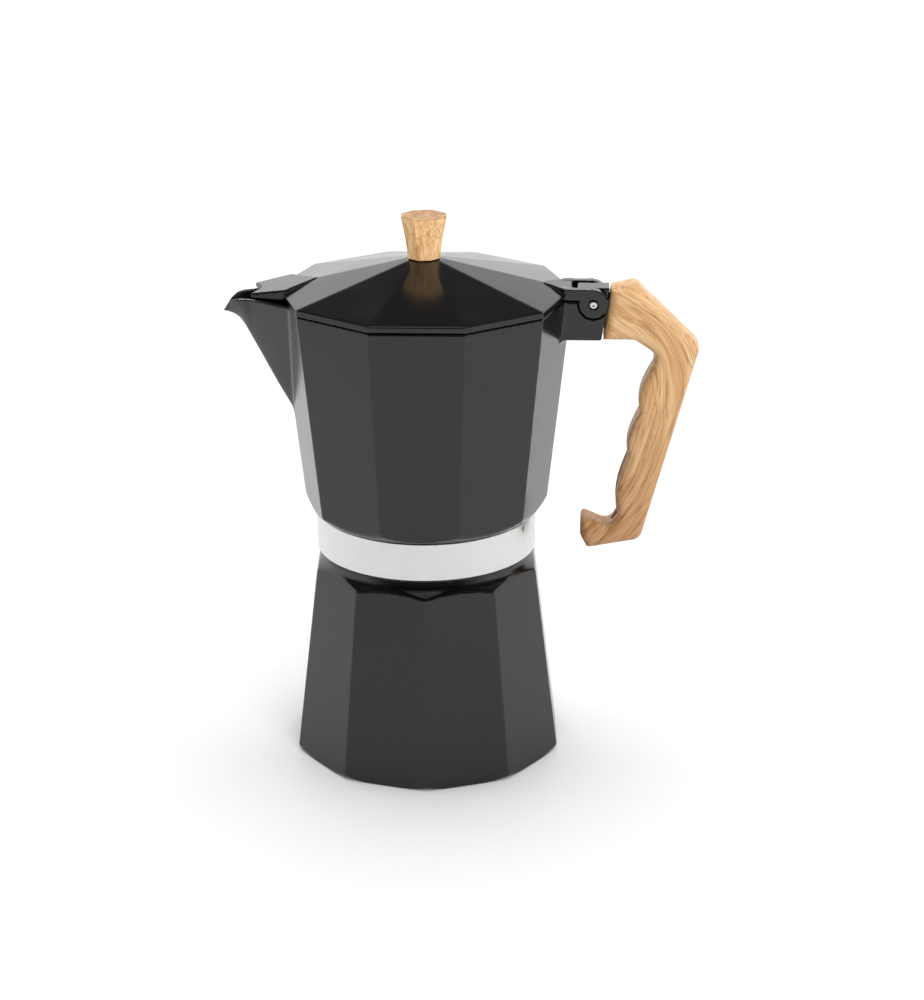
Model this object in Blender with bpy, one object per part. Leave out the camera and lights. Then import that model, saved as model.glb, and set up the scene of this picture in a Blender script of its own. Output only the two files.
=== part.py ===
"""A six-cup stove-top moka pot, built piece by piece as it comes apart on a bench.

The pot's axis is on Z, with the handle towards +X and the spout towards -X. Sizes are in millimetres and
angles in degrees. Heights are drawn from the lower end of the boiler's facets. make_object turns them into
metres and raises them by FOOT_HEIGHT, so that the pot stands on z = 0.
"""

import math

import bmesh
import bpy
from mathutils import Matrix, Vector

METRES = 0.001
GAP = 0.3  # between pieces that touch on the real pot
ROUND = 44  # sides of a large turned surface
SMALL_ROUND = 16  # sides of a small turned surface
FACETS = 10  # sides of the boiler, the upper chamber and the lid
HALF_FACET = 180 / FACETS
IN_RATIO = math.cos(math.radians(HALF_FACET))  # flat-to-centre over corner-to-centre

# Boiler: a ten-sided cone whose foot and shoulder are turned
FOOT_HEIGHT = 1.8
FOOT_RADIUS = 53.2
BOILER_LOW_RADIUS = 55.5  # corner radius at height 0
BOILER_TOP_RADIUS = 45.8  # corner radius at BOILER_TOP
BOILER_TOP = 77.3
BOILER_TURN = 2.2  # how far it stops short of lining up when screwed tight
BOILER_TAPER = (BOILER_LOW_RADIUS - BOILER_TOP_RADIUS) / BOILER_TOP
BOILER_FLOOR = 3.5
SHOULDER_TOP = 83.0
NECK_TOP = 93.5
NECK_RADIUS = 37.4
NECK_BORE = 34.3

# Screw thread between boiler and chamber, drawn as rings that pass each other freely
THREAD_PITCH = 3.0
THREAD_TURNS = 3
MALE_CREST = 38.4
FEMALE_CREST = 38.75
FEMALE_ROOT = 39.4
MALE_FIRST = 84.9  # height of the lowest male ring
FEMALE_FIRST = 86.1  # height of the lowest female ring

# Bare aluminium collar
COLLAR_RADIUS = 43.84
COLLAR_BORE = 42.1
COLLAR_BOTTOM = 83.45
COLLAR_TOP = 98.7
COLLAR_MARK_ANGLE = -26.5

# Upper chamber: a ten-sided cup that widens upwards, with a spout and a hinge bracket
CHAMBER_LOW = 102.73
CHAMBER_LOW_RADIUS = 48.4  # corner radius at CHAMBER_LOW
CHAMBER_RIM = 186.24
CHAMBER_RIM_RADIUS = 57.65  # corner radius at CHAMBER_RIM
CHAMBER_TAPER = (CHAMBER_RIM_RADIUS - CHAMBER_LOW_RADIUS) / (CHAMBER_RIM - CHAMBER_LOW)
CHAMBER_WALL = 2.9
CHAMBER_FLOOR = 104.9
SKIRT_BOTTOM = 83.8
SKIRT_RADIUS = 41.8
RECESS_RADIUS = 37.3  # holds the gasket and the filter plate
RECESS_TOP = 100.5
COLUMN_BORE = 4.1
BOSS_TOP = 113.0

# Lid, spout cover and hinge
LID_UNDER = CHAMBER_RIM + GAP
LID_RIM_TOP = 189.04
LID_RADIUS = 57.66
LID_HUB_RADIUS = 7.0
LID_TOP = 200.9
LID_THICKNESS = 2.2
COVER_SLOPE = 0.184
COVER_CORNER = (-53.1, 12.4)  # widest point of the spout cover, on the lid's rim
COVER_CORNER_HEIGHT = 190.9
HINGE_X = 65.7
HINGE_Z = 185.1
HINGE_ARM_TOP = 190.9
HINGE_KNUCKLE = 4.7
HINGE_WIDTH = 9.0  # half the width across the two arms
HINGE_BLOCK = 4.5  # half the width of the fixed block between them
HINGE_BLOCK_FRONT = 59.25
HINGE_CLEARANCE = 8.85  # radius about the pin that the lid leaves free for the block
HINGE_HOLE = 1.8
PIN_RADIUS = 1.5

# Bracket and handle, in the X-Z plane
BRACKET_BOTTOM = 170.6
BRACKET_REAR_LOW = (68.95, BRACKET_BOTTOM)
BRACKET_REAR_HIGH = (72.1, 190.8)
TONGUE = (83.0, 174.0, 187.0, 2.6)  # end X, low Z, high Z, half width
HANDLE_HALF_WIDTH = 7.5
HANDLE_EDGE = 4.0  # rounding of its long edges
HANDLE_SCREW_X = 77.5

# Knob
KNOB_SIDES = 8
KNOB_TURN = 25.5
KNOB_BOTTOM = LID_TOP + GAP
KNOB_TOP = 217.95

# Coffee funnel, seal and filter
FUNNEL_RIM = 94.8
FUNNEL_FLANGE = 1.0
FUNNEL_RIM_RADIUS = 36.6
BASKET_RADIUS = 33.5
BASKET_BOTTOM = 74.0
STEM_BOTTOM = 6.0
SHEET = 1.1
GASKET_BOTTOM = FUNNEL_RIM + GAP
GASKET_TOP = 98.3
PLATE_BOTTOM = GASKET_TOP + GAP
PLATE_THICKNESS = 0.8
HOLE_RINGS = 3
HOLE_SPACING = 8.0
HOLE_RADIUS = 1.2

# Safety valve, along its own axis: 0 is the boiler's outer face and + is outwards
VALVE_ANGLE = 108 + BOILER_TURN
VALVE_HEIGHT = 50.0
VALVE_TILT = math.degrees(math.atan(BOILER_TAPER * IN_RATIO))
VALVE_SHANK = 4.0
VALVE_BORE = 2.6

Z_AXIS = Vector((0, 0, 1))
FOOT = Z_AXIS * FOOT_HEIGHT


def clear_scene():
    for item in list(bpy.data.objects):
        bpy.data.objects.remove(item, do_unlink=True)


def make_material(name, colour, roughness, metallic):
    material = bpy.data.materials.new(name)
    material.use_nodes = True
    shader = material.node_tree.nodes["Principled BSDF"]
    shader.inputs["Base Color"].default_value = (*colour, 1)
    shader.inputs["Roughness"].default_value = roughness
    shader.inputs["Metallic"].default_value = metallic
    return material


def make_object(name, shape, material=None, origin=(0, 0, 0), parent=None):
    """Writes a bmesh drawn in millimetres as an object in metres whose origin is at the given point. A shape
    with no parent is raised by the height of the foot."""
    bmesh.ops.transform(shape, matrix=Matrix.Translation(-Vector(origin)), verts=shape.verts)
    bmesh.ops.scale(shape, vec=(METRES,) * 3, verts=shape.verts)
    bmesh.ops.recalc_face_normals(shape, faces=shape.faces)
    mesh = bpy.data.meshes.new(name)
    shape.to_mesh(mesh)
    shape.free()
    mesh.shade_smooth()
    mesh.set_sharp_from_angle(angle=math.radians(30))
    item = bpy.data.objects.new(name, mesh)
    item.location = (Vector(origin) + (Vector() if parent else FOOT)) * METRES
    item.parent = parent
    if material:
        mesh.materials.append(material)
    bpy.context.scene.collection.objects.link(item)
    return item


def combine(target, name, shape, operation, parent=None):
    """Joins a shape to the target, or cuts it away, and keeps it in the scene as a hidden helper."""
    helper = make_object(name, shape, parent=parent)
    helper.hide_render = True
    helper.display_type = "WIRE"
    change = target.modifiers.new(name, "BOOLEAN")
    change.operation = operation
    change.solver = "EXACT"
    change.object = helper


def turned(profile, sides=ROUND, turn=0.0):
    """A closed (radius, height) outline turned about Z. Radius 0 is a point on the axis."""
    shape = bmesh.new()
    angles = [math.radians(turn) + math.tau * k / sides for k in range(sides)]
    rings = []
    for radius, height in profile:
        around = angles if radius else [0.0]
        rings.append([shape.verts.new((radius * math.cos(a), radius * math.sin(a), height)) for a in around])
    for lower, upper in zip(rings, rings[1:] + rings[:1]):
        if len(lower) == len(upper) == 1:
            continue
        for k in range(sides):
            after = (k + 1) % sides
            corners = [
                lower[k % len(lower)],
                lower[after % len(lower)],
                upper[after % len(upper)],
                upper[k % len(upper)],
            ]
            shape.faces.new(list(dict.fromkeys(corners)))
    return shape


def lofted(rings):
    """A closed solid through rings that have the same number of points."""
    shape = bmesh.new()
    loops = [[shape.verts.new(point) for point in ring] for ring in rings]
    for low, high in zip(loops, loops[1:]):
        for k in range(len(low)):
            after = (k + 1) % len(low)
            shape.faces.new((low[k], low[after], high[after], high[k]))
    shape.faces.new(reversed(loops[0]))
    shape.faces.new(loops[-1])
    return shape


def upright(outline, low, high):
    """An (x, y) outline raised along Z between two heights, each a number or a function of x."""
    low_at = low if callable(low) else lambda x: low
    high_at = high if callable(high) else lambda x: high
    return lofted([[(x, y, low_at(x)) for x, y in outline], [(x, y, high_at(x)) for x, y in outline]])


def sideways(outline, low, high):
    """An (x, z) outline carried along Y between two places."""
    return lofted([[(x, low, z) for x, z in outline], [(x, high, z) for x, z in outline]])


def box(low, high):
    outline = [(low[0], low[1]), (high[0], low[1]), (high[0], high[1]), (low[0], high[1])]
    return upright(outline, low[2], high[2])


def rod(radius, start, end, sides=SMALL_ROUND):
    """A round bar between two points."""
    start, end = Vector(start), Vector(end)
    shape = bmesh.new()
    bmesh.ops.create_cone(
        shape, cap_ends=True, segments=sides, radius1=radius, radius2=radius, depth=(end - start).length
    )
    turn = Z_AXIS.rotation_difference(end - start).to_matrix().to_4x4()
    bmesh.ops.transform(shape, matrix=Matrix.Translation((start + end) / 2) @ turn, verts=shape.verts)
    return shape


def merged(*shapes):
    """Several shapes in one bmesh, for helpers that may hold separate bodies."""
    whole = bmesh.new()
    for shape in shapes:
        mesh = bpy.data.meshes.new("joining")
        shape.to_mesh(mesh)
        shape.free()
        whole.from_mesh(mesh)
        bpy.data.meshes.remove(mesh)
    return whole


def arc(centre, radius, start, end, steps):
    """Points on a circle from one angle to another, both ends included."""
    angles = [math.radians(start + (end - start) * k / steps) for k in range(steps + 1)]
    return [(centre[0] + radius * math.cos(a), centre[1] + radius * math.sin(a)) for a in angles]


def bulged(start, end, bulge, steps=9):
    """Points between two cusps on a curve that stands out to the left, most of all nearer its start. The ends
    are left out."""
    skew = 0.35
    start, end = Vector(start), Vector(end)
    along = end - start
    across = Vector((-along.y, along.x)).normalized()
    shares = [k / steps for k in range(1, steps)]
    rise = [bulge * 4 * s * (1 - s) * (1 + skew * (1 - 2 * s)) for s in shares]
    return [tuple(start + along * s + across * high) for s, high in zip(shares, rise)]


def filleted(before, corner, after, radius, steps=5):
    """Points that round a corner between two straight runs."""
    before, corner, after = Vector(before), Vector(corner), Vector(after)
    back, forth = (before - corner).normalized(), (after - corner).normalized()
    half = back.angle(forth) / 2
    centre = corner + (back + forth).normalized() * (radius / math.sin(half))
    first = corner + back * (radius / math.tan(half)) - centre
    last = corner + forth * (radius / math.tan(half)) - centre
    sweep = first.angle_signed(last)
    return [tuple(centre + Matrix.Rotation(-sweep * k / steps, 2) @ first) for k in range(steps + 1)]


def boiler_radius(height):
    return BOILER_LOW_RADIUS - BOILER_TAPER * height


def chamber_radius(height):
    return CHAMBER_LOW_RADIUS + CHAMBER_TAPER * (height - CHAMBER_LOW)


def thread_rings(first, root, crest, climbing):
    """Outline points of evenly spaced thread rings, listed upwards or downwards."""
    points = []
    for k in range(THREAD_TURNS):
        middle = first + THREAD_PITCH * k
        points += [(root, middle - 0.9), (crest, middle - 0.35), (crest, middle + 0.35), (root, middle + 0.9)]
    return points if climbing else points[::-1]


def make_boiler(material):
    low_inside = boiler_radius(5.5) * IN_RATIO - 3.6
    high_inside = boiler_radius(75) * IN_RATIO - 3.3
    outside = [(0, -FOOT_HEIGHT), (FOOT_RADIUS, -FOOT_HEIGHT), (BOILER_LOW_RADIUS, 0), (60, 4), (60, 67)]
    shoulder = [(45.9, 76.5), (44.5, 77.4), (43.3, 78.3), (42.5, 79.2), (41.9, 80.3), (41.5, 81.6)]
    neck = [(41.3, SHOULDER_TOP), (NECK_RADIUS, SHOULDER_TOP)]
    neck += thread_rings(MALE_FIRST, NECK_RADIUS, MALE_CREST, True)
    neck += [(NECK_RADIUS, NECK_TOP - 0.5), (NECK_RADIUS - 0.5, NECK_TOP), (NECK_BORE, NECK_TOP)]
    inside = [(NECK_BORE, 82.0), (38.6, 78.6), (high_inside, 75), (low_inside, 5.5)]
    inside += [(low_inside - 2, BOILER_FLOOR), (0, BOILER_FLOOR)]
    boiler = make_object("boiler", turned(outside + shoulder + neck + inside), material)
    low, high = -FOOT_HEIGHT - 1, NECK_TOP + 1
    faceted = [(0, low), (boiler_radius(low), low), (boiler_radius(high), high), (0, high)]
    facets = turned(faceted, FACETS, -90 + BOILER_TURN)
    combine(boiler, "boiler_facets", facets, "INTERSECT")
    return boiler


def make_valve(boiler, brass, steel, fibre):
    """The safety valve, drawn along Z about an empty that stands on the boiler's wall."""
    flat = boiler_radius(VALVE_HEIGHT) * IN_RATIO
    angle, tilt = math.radians(VALVE_ANGLE), math.radians(VALVE_TILT)
    place = (Vector((flat * math.cos(angle), flat * math.sin(angle), VALVE_HEIGHT)) + FOOT) * METRES
    outwards = Vector((math.cos(angle) * math.cos(tilt), math.sin(angle) * math.cos(tilt), math.sin(tilt)))
    axis = bpy.data.objects.new("valve_axis", None)
    axis.matrix_world = Matrix.Translation(place) @ Z_AXIS.rotation_difference(outwards).to_matrix().to_4x4()
    bpy.context.scene.collection.objects.link(axis)

    hole = rod(VALVE_SHANK + GAP, (0, 0, -9), (0, 0, 4))
    combine(boiler, "valve_hole", hole, "DIFFERENCE", axis)

    washer = [(VALVE_SHANK + GAP, GAP), (7.4, GAP), (7.4, 1.2), (VALVE_SHANK + GAP, 1.2)]
    make_object("valve_washer", turned(washer, SMALL_ROUND), fibre, parent=axis)

    body_profile = [(VALVE_BORE, -5.9), (VALVE_SHANK, -5.9), (VALVE_SHANK, 1.5), (9, 1.5), (9, 4.6)]
    body_profile += [(4.9, 4.6), (4.9, 7.6), (4.3, 8.4), (1.2, 8.4), (1.2, 7.4), (VALVE_BORE, 7.4)]
    body = make_object("valve_body", turned(body_profile, SMALL_ROUND), brass, parent=axis)
    hexagon = turned([(0, -7), (6.9, -7), (6.9, 9), (0, 9)], 6)
    combine(body, "valve_hexagon", hexagon, "INTERSECT", axis)
    combine(body, "valve_vent", rod(0.8, (-8, 0, 6), (8, 0, 6), 12), "DIFFERENCE", axis)

    seat = [(1.3, -7.6), (3.6, -7.6), (3.6, -6.2), (1.3, -6.2)]
    make_object("valve_seat", turned(seat, SMALL_ROUND), brass, parent=axis)

    stem = [(0, -5.8), (2.3, -5.8), (2.3, -4.6), (0.8, -4.2), (0.8, 10.2), (0.5, 10.6), (0, 10.6)]
    make_object("valve_stem", turned(stem, SMALL_ROUND), steel, parent=axis)
    make_object("valve_spring", coil(1.75, 0.25, -3.8, 7.0, 6), steel, parent=axis)


def coil(radius, wire, low, high, turns, steps=10, sides=4):
    """A helical spring about Z, with its wire's ends closed."""
    rings = []
    for k in range(turns * steps + 1):
        angle = math.tau * k / steps
        height = low + wire + (high - low - 2 * wire) * k / (turns * steps)
        out = Vector((math.cos(angle), math.sin(angle), 0))
        section = [math.tau * j / sides for j in range(sides)]
        middle = out * radius + Z_AXIS * height
        rings.append([middle + (out * math.cos(a) + Z_AXIS * math.sin(a)) * wire for a in section])
    return lofted(rings)


def perforated(target, name, low, high):
    """Cuts rings of small holes through a plate."""
    drills = []
    for ring in range(HOLE_RINGS + 1):
        for k in range(max(1, 6 * ring)):
            angle = math.tau * k / max(1, 6 * ring)
            x, y = ring * HOLE_SPACING * math.cos(angle), ring * HOLE_SPACING * math.sin(angle)
            drills.append(rod(HOLE_RADIUS, (x, y, low), (x, y, high), 6))
    combine(target, name, merged(*drills), "DIFFERENCE")


def make_funnel(aluminium):
    cone_low, stem, throat = 66.0, 6.5, 5.8
    outside = [(FUNNEL_RIM_RADIUS, FUNNEL_RIM), (FUNNEL_RIM_RADIUS, FUNNEL_RIM - FUNNEL_FLANGE)]
    outside += [(BASKET_RADIUS, FUNNEL_RIM - FUNNEL_FLANGE), (BASKET_RADIUS, BASKET_BOTTOM)]
    outside += [(BASKET_RADIUS - 2.5, BASKET_BOTTOM - 2), (8, cone_low), (stem, cone_low - 2), (throat, STEM_BOTTOM)]
    inside = [(throat - SHEET, STEM_BOTTOM), (stem - SHEET, cone_low - 1.5), (7.2, cone_low + 1)]
    inside += [(BASKET_RADIUS - 3.3, BASKET_BOTTOM - 0.8), (BASKET_RADIUS - 3.3, BASKET_BOTTOM + 1)]
    inside += [(BASKET_RADIUS - SHEET, BASKET_BOTTOM + 1), (BASKET_RADIUS - SHEET, FUNNEL_RIM)]
    make_object("funnel", turned(outside + inside), aluminium)

    low = BASKET_BOTTOM + 1 + GAP
    radius = BASKET_RADIUS - SHEET - GAP
    sieve_profile = [(0, low), (radius, low), (radius, low + PLATE_THICKNESS), (0, low + PLATE_THICKNESS)]
    sieve = make_object("funnel_sieve", turned(sieve_profile), aluminium)
    perforated(sieve, "sieve_holes", low - 1, low + 2)


def make_seal(rubber, steel):
    outer, inner, edge = RECESS_RADIUS - GAP, 27.0, 0.6
    ring = [(inner + edge, GASKET_BOTTOM), (outer - edge, GASKET_BOTTOM), (outer, GASKET_BOTTOM + edge)]
    ring += [(outer, GASKET_TOP - edge), (outer - edge, GASKET_TOP), (inner + edge, GASKET_TOP)]
    ring += [(inner, GASKET_TOP - edge), (inner, GASKET_BOTTOM + edge)]
    make_object("gasket", turned(ring), rubber)

    radius, top = RECESS_RADIUS - 0.9, PLATE_BOTTOM + PLATE_THICKNESS
    dish = [(0, PLATE_BOTTOM), (radius, PLATE_BOTTOM), (radius, RECESS_TOP - GAP)]
    dish += [(radius - PLATE_THICKNESS, RECESS_TOP - GAP), (radius - PLATE_THICKNESS, top), (0, top)]
    plate = make_object("filter_plate", turned(dish), steel)
    perforated(plate, "plate_holes", PLATE_BOTTOM - 1, top + 1)


def make_collar(aluminium):
    edge = 0.35
    ring = [(COLLAR_BORE, COLLAR_BOTTOM), (COLLAR_RADIUS - edge, COLLAR_BOTTOM)]
    ring += [(COLLAR_RADIUS, COLLAR_BOTTOM + edge), (COLLAR_RADIUS, COLLAR_TOP - edge)]
    ring += [(COLLAR_RADIUS - edge, COLLAR_TOP), (COLLAR_BORE, COLLAR_TOP)]
    collar = make_object("collar_ring", turned(ring, 60), aluminium)
    notch = lofted([[(x, y, z) for y, z in ((-1.5, 97.8), (1.5, 97.8), (0, 94.8))] for x in (43.3, 45)])
    bmesh.ops.rotate(notch, matrix=Matrix.Rotation(math.radians(COLLAR_MARK_ANGLE), 3, "Z"), verts=notch.verts)
    combine(collar, "collar_mark", notch, "DIFFERENCE")


def spout_sections():
    """(x, keel height, half width at the lips, lip height) from inside the wall to the tip of the beak."""
    return [
        (-46.0, 126.0, 24.4, 186.15),
        (-52.1, 137.9, 19.8, 186.15),
        (-58.1, 148.7, 15.3, 186.1),
        (-63.0, 158.3, 11.6, 186.0),
        (-67.4, 166.9, 8.5, 185.9),
        (-70.7, 173.3, 7.6, 185.7),
        (-72.4, 176.0, 7.0, 185.5),
        (-74.2, 177.4, 6.0, 185.0),
        (-76.4, 178.3, 3.6, 183.2),
        (-78.0, 178.75, 1.9, 180.6),
        (-78.7, 178.9, 1.0, 179.7),
    ]


def make_spout():
    rings = []
    for x, keel, lip, top in spout_sections():
        nose = 0.12 * lip  # the keel is slightly blunt
        up = 0.06 * (top - keel)
        rings.append([(x, -lip, top), (x, -nose, keel + up), (x, 0, keel), (x, nose, keel + up), (x, lip, top)])
    return lofted(rings)


def make_spout_channel():
    """The open channel in the spout. Its wall thins from the chamber to the tip."""
    rings = []
    sections = spout_sections()
    first, last = sections[0][0], sections[-1][0]
    for x, keel, lip, top in sections:
        wall = 2.2 - 1.4 * (x - first) / (last - first)
        slope = lip / (top - keel)
        floor = keel + wall / math.sin(math.atan(slope))
        high = top + 5
        rings.append([(x, -(high - floor) * slope, high), (x, 0, floor), (x, (high - floor) * slope, high)])
    rings.append([(last - 1, y, z) for _, y, z in rings[-1]])
    return lofted(rings)


def bracket_rear(height):
    """X of the bracket's slanted rear face at a height."""
    (low_x, low_z), (high_x, high_z) = BRACKET_REAR_LOW, BRACKET_REAR_HIGH
    return low_x + (high_x - low_x) * (height - low_z) / (high_z - low_z)


def make_chamber_cavity():
    """The inside of the chamber: ten flat walls, and a floor that rises to the boss round the column."""
    sides = 4 * FACETS
    angles = [math.tau * k / sides for k in range(sides)]
    flat = math.radians(2 * HALF_FACET)

    def ring(radius, height, faceted):
        points = []
        for angle in angles:
            off = (angle % flat) - flat / 2
            reach = radius * IN_RATIO / math.cos(off) if faceted else radius
            points.append((reach * math.cos(angle), reach * math.sin(angle), height))
        return points

    def wall(height, extra=0.0):
        return ring(chamber_radius(height) - CHAMBER_WALL - extra, height, True)

    rings = [ring(7.6, BOSS_TOP, False), ring(7.8, 110, False), ring(12, 109, False)]
    rings += [wall(CHAMBER_FLOOR, 3), wall(106.2, 0.8), wall(108), wall(CHAMBER_RIM + 4)]
    return lofted(rings)


def make_chamber(material):
    outside = [(SKIRT_RADIUS - 0.5, SKIRT_BOTTOM), (SKIRT_RADIUS, SKIRT_BOTTOM + 0.5)]
    outside += [(SKIRT_RADIUS, COLLAR_TOP + GAP), (44.1, COLLAR_TOP + GAP), (62, 114.7), (62, CHAMBER_RIM)]
    inside = [(COLUMN_BORE, CHAMBER_RIM), (COLUMN_BORE, 106.6), (6, 105.4), (30, 101.6), (31.5, RECESS_TOP)]
    inside += [(RECESS_RADIUS, RECESS_TOP), (RECESS_RADIUS, 94.5), (FEMALE_ROOT, 93.9)]
    inside += thread_rings(FEMALE_FIRST, FEMALE_ROOT, FEMALE_CREST, False)
    inside += [(FEMALE_ROOT, 84.4), (FEMALE_ROOT + 0.6, SKIRT_BOTTOM)]
    chamber = make_object("chamber", turned(outside + inside), material)
    low, high = SKIRT_BOTTOM - 1, CHAMBER_RIM + 1
    facets = turned([(0, low), (chamber_radius(low), low), (chamber_radius(high), high), (0, high)], FACETS)
    combine(chamber, "chamber_facets", facets, "INTERSECT")
    combine(chamber, "spout_outside", make_spout(), "UNION")

    seam = CHAMBER_RIM - 0.05
    lower = [(48, BRACKET_BOTTOM), BRACKET_REAR_LOW, (bracket_rear(seam), seam), (48, seam)]
    combine(chamber, "bracket_block", sideways(lower, -HINGE_WIDTH, HINGE_WIDTH), "UNION")
    front, low, top = HINGE_BLOCK_FRONT, 182, HINGE_ARM_TOP - 0.45
    centre = [(front, low), (bracket_rear(low), low), (bracket_rear(top), top)]
    centre += filleted((bracket_rear(top), top), (front, top), (front, low), 0.7)
    combine(chamber, "hinge_block", sideways(centre, -HINGE_BLOCK, HINGE_BLOCK), "UNION")
    end, tongue_low, tongue_high, half = TONGUE
    combine(chamber, "handle_tongue", box((66, -half, tongue_low), (end, half, tongue_high)), "UNION")

    combine(chamber, "chamber_inside", make_chamber_cavity(), "DIFFERENCE")
    combine(chamber, "spout_channel", make_spout_channel(), "DIFFERENCE")
    pocket = HINGE_ARM_TOP - HINGE_Z + GAP
    inner = HINGE_BLOCK + GAP
    pockets = [
        rod(pocket, (HINGE_X, side * inner, HINGE_Z), (HINGE_X, side * (HINGE_WIDTH + 2), HINGE_Z), 48)
        for side in (-1, 1)
    ]
    combine(chamber, "knuckle_pockets", merged(*pockets), "DIFFERENCE")
    pin_hole = rod(HINGE_HOLE, (HINGE_X, -12, HINGE_Z), (HINGE_X, 12, HINGE_Z))
    combine(chamber, "pin_hole", pin_hole, "DIFFERENCE")
    screw_hole = rod(1.5, (HANDLE_SCREW_X, 0, tongue_low - 1), (HANDLE_SCREW_X, 0, 183.5))
    combine(chamber, "handle_screw_hole", screw_hole, "DIFFERENCE")


def make_riser(aluminium):
    seat = BOSS_TOP + GAP
    column = [(COLUMN_BORE - GAP, 107.5), (COLUMN_BORE - GAP, seat), (7.2, seat), (7.2, seat + 1.4)]
    column += [(6.2, seat + 3), (4.6, 163), (2.3, 163), (2.9, 107.5)]
    make_object("riser_column", turned(column, 24), aluminium)

    sleeve, outer = 4.6 + GAP, 6.4
    cap = [(sleeve, 157), (outer, 157), (outer, 165), (5.6, 168.5), (3.4, 170.6), (0, 171.2)]
    cap += [(0, 169.6), (2.8, 169), (4.2, 167.4), (sleeve, 165)]
    riser_cap = make_object("riser_cap", turned(cap, 24), aluminium)
    outlet = box((-9, -1.8, 164.2), (9, 1.8, 167.6))
    combine(riser_cap, "riser_outlets", outlet, "DIFFERENCE")


def cover_height(x):
    return COVER_CORNER_HEIGHT + COVER_SLOPE * (x - COVER_CORNER[0])


def cover_outline(inset):
    """Plan of the spout cover, drawn in by the wall's thickness for its inside."""
    corner_x, corner_y = COVER_CORNER
    front, notch, end = -67.1 + inset, -63.2 + inset, -41.2 - 1.6 * inset
    half = 8.3 - inset
    wide = corner_y - 1.1 * inset
    return [(front, -half), (notch, 0), (front, half), (corner_x, wide), (end, 0), (corner_x, -wide)][::-1]


def hinge_arm_outline():
    """One arm of the lid's fork, in the X-Z plane: a bar that ends in a knuckle round the pin."""
    start = 54.0
    meets = 180 - math.degrees(math.asin((LID_UNDER - HINGE_Z) / HINGE_KNUCKLE))
    outline = [(start, LID_UNDER)]
    outline += arc((HINGE_X, HINGE_Z), HINGE_KNUCKLE, meets, 360, 16)
    outline += arc((HINGE_X, HINGE_ARM_TOP - HINGE_KNUCKLE), HINGE_KNUCKLE, 0, 90, 7)
    outline += [(start, HINGE_ARM_TOP)]
    return outline


def make_hinge_plate():
    """The flat piece that joins the two arms and runs out to a point on the lid's ridge."""
    low, high = 188.3, HINGE_ARM_TOP
    sections = [(44.9, 0.1, 190.2, 191.95), (55, HINGE_WIDTH, low, high), (57.6, HINGE_WIDTH, low, high)]
    rings = []
    for x, half, bottom, top in sections:
        rings.append([(x, -half, bottom), (x, half, bottom), (x, half, top), (x, -half, top)])
    return lofted(rings)


def make_lid(material):
    hole = 2.0
    slope = (LID_TOP - LID_RIM_TOP) / (LID_RADIUS - LID_HUB_RADIUS)
    under = LID_TOP - LID_THICKNESS
    inner = 54.6
    profile = [(hole, under), (6.5, under), (inner - 1, under - slope * (inner - 7.5)), (inner, LID_UNDER)]
    profile += [(LID_RADIUS, LID_UNDER), (LID_RADIUS, LID_RIM_TOP), (LID_HUB_RADIUS, LID_TOP), (hole, LID_TOP)]
    hinge = (HINGE_X, 0, HINGE_Z)
    lid = make_object("lid", turned(profile, FACETS), material, origin=hinge)

    cover = upright(cover_outline(0), LID_UNDER, cover_height)
    combine(lid, "cover_outside", cover, "UNION")
    wall = 1.9
    hollow = upright(cover_outline(wall), LID_UNDER - 3, lambda x: cover_height(x) - wall)
    combine(lid, "cover_inside", hollow, "DIFFERENCE")

    combine(lid, "hinge_plate", make_hinge_plate(), "UNION")
    inner_side = HINGE_BLOCK + GAP
    for side, low, high in (("near", -HINGE_WIDTH, -inner_side), ("far", inner_side, HINGE_WIDTH)):
        arm = sideways(hinge_arm_outline(), low, high)
        combine(lid, f"hinge_arm_{side}", arm, "UNION")
    swept = rod(HINGE_CLEARANCE, (HINGE_X, -inner_side, HINGE_Z), (HINGE_X, inner_side, HINGE_Z), 40)
    combine(lid, "hinge_clearance", swept, "DIFFERENCE")
    pin_hole = rod(HINGE_HOLE, (HINGE_X, -12, HINGE_Z), (HINGE_X, 12, HINGE_Z))
    combine(lid, "lid_pin_hole", pin_hole, "DIFFERENCE")


def make_hinge_pin(steel):
    """A plain pin with rounded ends, each with a small dimple in the middle."""
    end = HINGE_WIDTH + 0.25
    half = [(PIN_RADIUS, end - 0.2), (PIN_RADIUS - 0.2, end), (0.5, end), (0, end - 0.3)]
    profile = [(radius, -height) for radius, height in half[::-1]] + half
    pin = turned(profile, SMALL_ROUND)
    bmesh.ops.rotate(pin, matrix=Matrix.Rotation(math.radians(90), 3, "X"), verts=pin.verts)
    bmesh.ops.translate(pin, vec=(HINGE_X, 0, HINGE_Z), verts=pin.verts)
    make_object("hinge_pin", pin, steel, origin=(HINGE_X, 0, HINGE_Z))


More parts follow.
